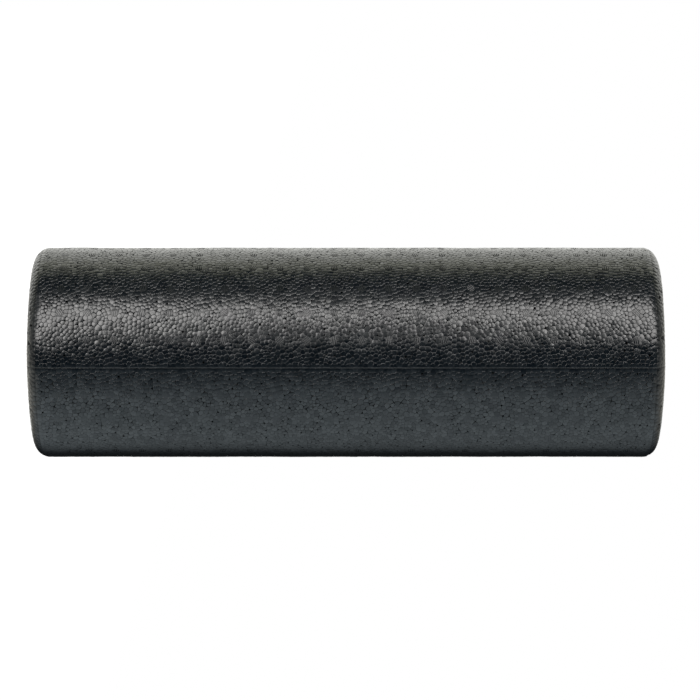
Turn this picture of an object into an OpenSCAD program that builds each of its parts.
// Round foam roller: two equal half-round bead-foam mouldings bonded on a flat joint.
//
// Frame: X runs along the roller's axis, Z is up and square to the joint plane,
// and the origin is the centre of the roller. Units are millimetres.

/* [Roller] */
// Overall length, end face to end face
roller_length = 450; // [300:1:910]
// Outside diameter of the barrel
roller_diameter = 152; // [140:1:180]
// Radius between the barrel and each end face
edge_radius = 10; // [3:0.5:18]

/* [Bond film] */
// Thickness of the film that joins the two halves
film_thickness = 0.6; // [0.3:0.1:1.5]
// How far the film's edge stands out of the barrel
film_proud = 0.2; // [0:0.05:0.5]

/* [Location keys] */
// Number of key stations along the joint, each with one peg and one socket per half
key_stations = 4; // [2:2:4]
// Distance of the first and last stations from the end faces
key_end_distance = 60; // [40:1:80]
// Distance of the pegs and sockets from the roller's axis
key_offset = 36; // [28:1:44]
// Peg diameter at its root
key_root_d = 26; // [16:0.5:32]
// Peg height from its half's flat face
key_height = 15; // [6:0.5:22]
// Draft angle of the peg's side
key_draft = 9.5; // [2:0.5:12]
// Radial gap between a peg's root size and its socket's mouth
key_clearance = 0.3; // [0.1:0.05:0.8]
// Gap past a peg's tip
key_end_gap = 1; // [0.5:0.1:3]

/* [Mould marks on the joint faces] */
// Diameter of the round mark left by each bead filler
filler_d = 22; // [12:1:28]
// Depth of the filler marks
filler_depth = 0.8; // [0.3:0.1:2]

/* [Colours] */
// Colour of the foam
foam_colour = "#2b2e30"; // [#2b2e30:Charcoal, #1b1d1e:Black, #3c4a5c:Slate blue]
// Colour of the bond film
film_colour = "#4a4d4f"; // [#4a4d4f:Dark grey, #2b2e30:Charcoal]

/* [Hidden] */
$fn = 96;
eps = 0.01;     // overlap of a cutter past the face it opens
cut_margin = 1; // spare size of the block that cuts the barrel in half
barrel_r = roller_diameter / 2;
half_length = roller_length / 2;
film_width = roller_diameter + 2 * film_proud;
// Each half's flat face lies this far from the joint plane
face_z = film_thickness / 2;
// The peg crosses the film before it enters the socket
socket_extra = key_end_gap - film_thickness;
// Stations are spread evenly between the two end distances
station_pitch = (roller_length - 2 * key_end_distance) / (key_stations - 1);
station_x = [
    for (i = [0 : key_stations - 1]) -half_length + key_end_distance + i * station_pitch
];
// Filler marks sit on the axis, midway between stations
filler_x = [for (i = [0 : key_stations - 2]) station_x[i] + station_pitch / 2];

// Half of the roller's axial section: radius along +X, roller axis along Y
module half_section() {
    corner_x = barrel_r - edge_radius;
    corner_y = half_length - edge_radius;
    translate([0, -half_length])
        square([corner_x, roller_length]);
    translate([0, -corner_y])
        square([barrel_r, 2 * corner_y]);
    for (side = [-1, 1])
        translate([corner_x, side * corner_y])
            circle(r = edge_radius);
}

// Full roller, axis along X; its section is held within the radius and length
module envelope() {
    rotate([0, 90, 0])
        rotate_extrude(convexity = 4)
            intersection() {
                half_section();
                translate([0, -half_length])
                    square([barrel_r, roller_length]);
            }
}

// Tapered key standing on z = 0; grow adds to its radius, extra to its height
module key(grow = 0, extra = 0) {
    height = key_height + extra;
    root_r = key_root_d / 2 + grow;
    cylinder(r1 = root_r, r2 = root_r - tan(key_draft) * height, h = height);
}

// Side of the axis that a station's peg is on; its socket is on the other side.
// The pegs change sides at mid length, so the same moulding turned over
// end for end, about Y, mates with itself.
function peg_side(x) = x < 0 ? -1 : 1;

// One half-round moulding, flat face down at z = face_z
module half_round() {
    difference() {
        intersection() {
            envelope();
            translate([-half_length - cut_margin, -barrel_r - cut_margin, face_z])
                cube([
                    roller_length + 2 * cut_margin,
                    roller_diameter + 2 * cut_margin,
                    barrel_r + cut_margin
                ]);
        }
        // Sockets
        for (x = station_x)
            translate([x, -peg_side(x) * key_offset, face_z - eps])
                key(grow = key_clearance, extra = socket_extra + eps);
        // Filler marks
        for (x = filler_x)
            translate([x, 0, face_z - eps])
                cylinder(d = filler_d, h = filler_depth + eps);
    }
    // Pegs, pointing down
    for (x = station_x)
        translate([x, peg_side(x) * key_offset, face_z])
            mirror([0, 0, 1])
                key();
}

// Film outline: a rectangle with rounded corners
module film_outline() {
    corner_x = half_length - edge_radius;
    corner_y = film_width / 2 - edge_radius;
    square([2 * corner_x, film_width], center = true);
    square([roller_length, 2 * corner_y], center = true);
    for (side_x = [-1, 1], side_y = [-1, 1])
        translate([side_x * corner_x, side_y * corner_y])
            circle(r = edge_radius);
}

module upper_half() {
    color(foam_colour)
        half_round();
}

module lower_half() {
    color(foam_colour)
        rotate([0, 180, 0])
            half_round();
}

// Film between the flat faces: flush with the end faces, slightly proud of the
// barrel, and open where the keys pass through
module bond_film() {
    color(film_colour)
        translate([0, 0, -face_z])
            linear_extrude(film_thickness)
                difference() {
                    film_outline();
                    for (x = station_x, side = [-1, 1])
                        translate([x, side * key_offset])
                            circle(d = key_root_d + 2 * key_clearance);
                }
}

upper_half();
lower_half();
bond_film();
